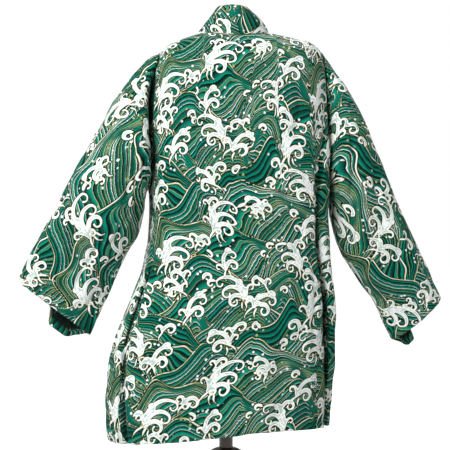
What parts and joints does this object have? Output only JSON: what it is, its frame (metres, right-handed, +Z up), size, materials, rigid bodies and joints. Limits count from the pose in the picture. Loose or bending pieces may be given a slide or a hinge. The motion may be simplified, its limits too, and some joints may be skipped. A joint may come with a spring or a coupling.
{
  "type": "haori jacket on limbless dress form",
  "caption": "Open-fronted haori jacket with straight narrow sleeves and a collar band, filled out on a limbless dress form with a turned stand.",
  "frame": {"origin": "middle of the stand's flat underside, where it rests on the table", "axes": "+Z up; the form and the jacket's open front face -Y, so the back faces +Y; the wearer's left is +X"},
  "size_m": [0.82, 0.3, 0.9103],
  "materials": {
    "print_cotton": "soft matt woven cotton with a printed wave pattern",
    "linen": "matt linen stretched over the form",
    "dark_wood": "dark stained, satin varnish"
  },
  "bodies": {
    "root": {"back_panel": "print_cotton", "front_panel_left": "print_cotton", "front_panel_right": "print_cotton", "sleeve_left": "print_cotton", "sleeve_right": "print_cotton", "collar_band": "print_cotton", "form_torso": "linen", "neck_cap": "dark_wood", "pole": "dark_wood", "pole_hub": "dark_wood", "stand_base": "dark_wood"}
  },
  "joints": []
}
